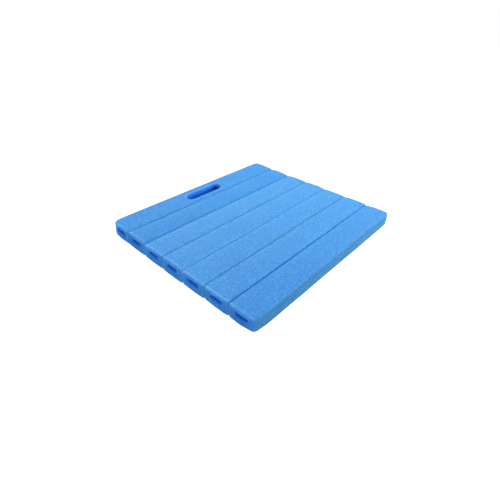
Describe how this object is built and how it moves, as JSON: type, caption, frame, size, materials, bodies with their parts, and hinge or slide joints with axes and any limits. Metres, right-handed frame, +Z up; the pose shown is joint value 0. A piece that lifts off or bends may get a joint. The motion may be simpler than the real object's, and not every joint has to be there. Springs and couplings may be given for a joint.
{
  "type": "sponge filter",
  "caption": "Flat pad of open-cell filter foam: parallel slats bonded edge to edge, each with a flat water channel along it, and a finger slot near one edge for lifting it out.",
  "frame": {"origin": "middle of the underside, on the surface the pad rests on", "axes": "+X along the slats and their channels, +Y across the slats towards the slat with the finger slot, +Z up, away from the surface it rests on"},
  "size_m": [0.4, 0.3576, 0.028],
  "materials": {
    "foam": "open-cell polyurethane foam, matt and grainy",
    "seam_bond": "foam pressed thin along a bonded seam, matt"
  },
  "bodies": {
    "slat_1": {"foam_slat_1": "foam"},
    "slat_2": {"foam_slat_2": "foam", "seam_web_1_2": "seam_bond"},
    "slat_3": {"foam_slat_3": "foam", "seam_web_2_3": "seam_bond"},
    "slat_4": {"foam_slat_4": "foam", "seam_web_3_4": "seam_bond", "seam_web_4_5": "seam_bond"},
    "slat_5": {"foam_slat_5": "foam", "seam_web_5_6": "seam_bond"},
    "slat_6": {"foam_slat_6": "foam", "seam_web_6_7": "seam_bond"},
    "slat_7": {"foam_slat_7": "foam"}
  },
  "joints": [
    {"name": "seam_3_4_flex", "type": "hinge", "parent": "slat_4", "child": "slat_3", "pos_m": [0, 0.0256, 0.0256], "axis": [1, 0, 0], "range_deg": [0, 40], "stiffness_Nm_per_rad": 0.3, "deforming": ["seam_web_3_4"]},
    {"name": "seam_2_3_flex", "type": "hinge", "parent": "slat_3", "child": "slat_2", "pos_m": [0, 0.0768, 0.0256], "axis": [1, 0, 0], "range_deg": [0, 40], "stiffness_Nm_per_rad": 0.3, "deforming": ["seam_web_2_3"]},
    {"name": "seam_1_2_flex", "type": "hinge", "parent": "slat_2", "child": "slat_1", "pos_m": [0, 0.128, 0.0256], "axis": [1, 0, 0], "range_deg": [0, 40], "stiffness_Nm_per_rad": 0.3, "deforming": ["seam_web_1_2"]},
    {"name": "seam_4_5_flex", "type": "hinge", "parent": "slat_4", "child": "slat_5", "pos_m": [0, -0.0256, 0.0256], "axis": [-1, 0, 0], "range_deg": [0, 40], "stiffness_Nm_per_rad": 0.3, "deforming": ["seam_web_4_5"]},
    {"name": "seam_5_6_flex", "type": "hinge", "parent": "slat_5", "child": "slat_6", "pos_m": [0, -0.0768, 0.0256], "axis": [-1, 0, 0], "range_deg": [0, 40], "stiffness_Nm_per_rad": 0.3, "deforming": ["seam_web_5_6"]},
    {"name": "seam_6_7_flex", "type": "hinge", "parent": "slat_6", "child": "slat_7", "pos_m": [0, -0.128, 0.0256], "axis": [-1, 0, 0], "range_deg": [0, 40], "stiffness_Nm_per_rad": 0.3, "deforming": ["seam_web_6_7"]}
  ]
}
